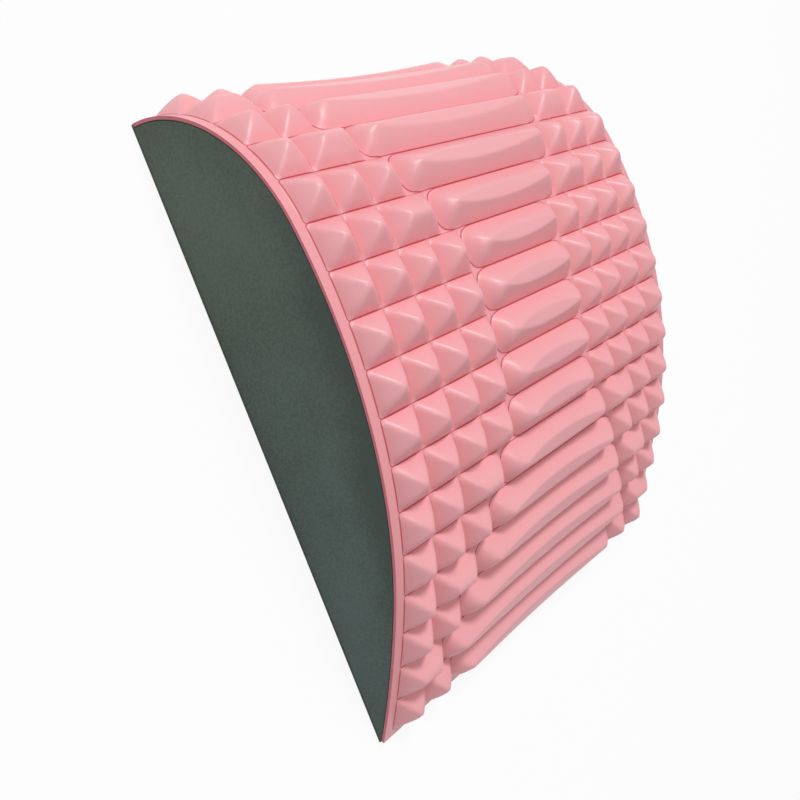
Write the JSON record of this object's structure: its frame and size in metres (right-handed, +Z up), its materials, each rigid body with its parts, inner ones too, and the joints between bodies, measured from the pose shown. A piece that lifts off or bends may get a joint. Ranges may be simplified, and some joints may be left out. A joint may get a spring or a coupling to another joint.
{
  "type": "lumbar stretch cushion",
  "caption": "Arched foam back stretcher with a moulded sheet of pyramid and bar nodules over a solid foam core, standing on a flat base sheet.",
  "frame": {"origin": "middle of the footprint, on the plane that the base rests on", "axes": "+Z up, +X along the massage bars, +Y across the bars towards the steep head end"},
  "size_m": [0.292, 0.362, 0.1024],
  "materials": {
    "massage_sheet": "soft matt closed-cell foam, moulded",
    "foam_core": "matt cut foam",
    "base_sheet": "matt non-slip foam sheet"
  },
  "bodies": {
    "root": {"massage_sheet": "massage_sheet", "foam_core": "foam_core", "base_sheet": "base_sheet"}
  },
  "joints": []
}
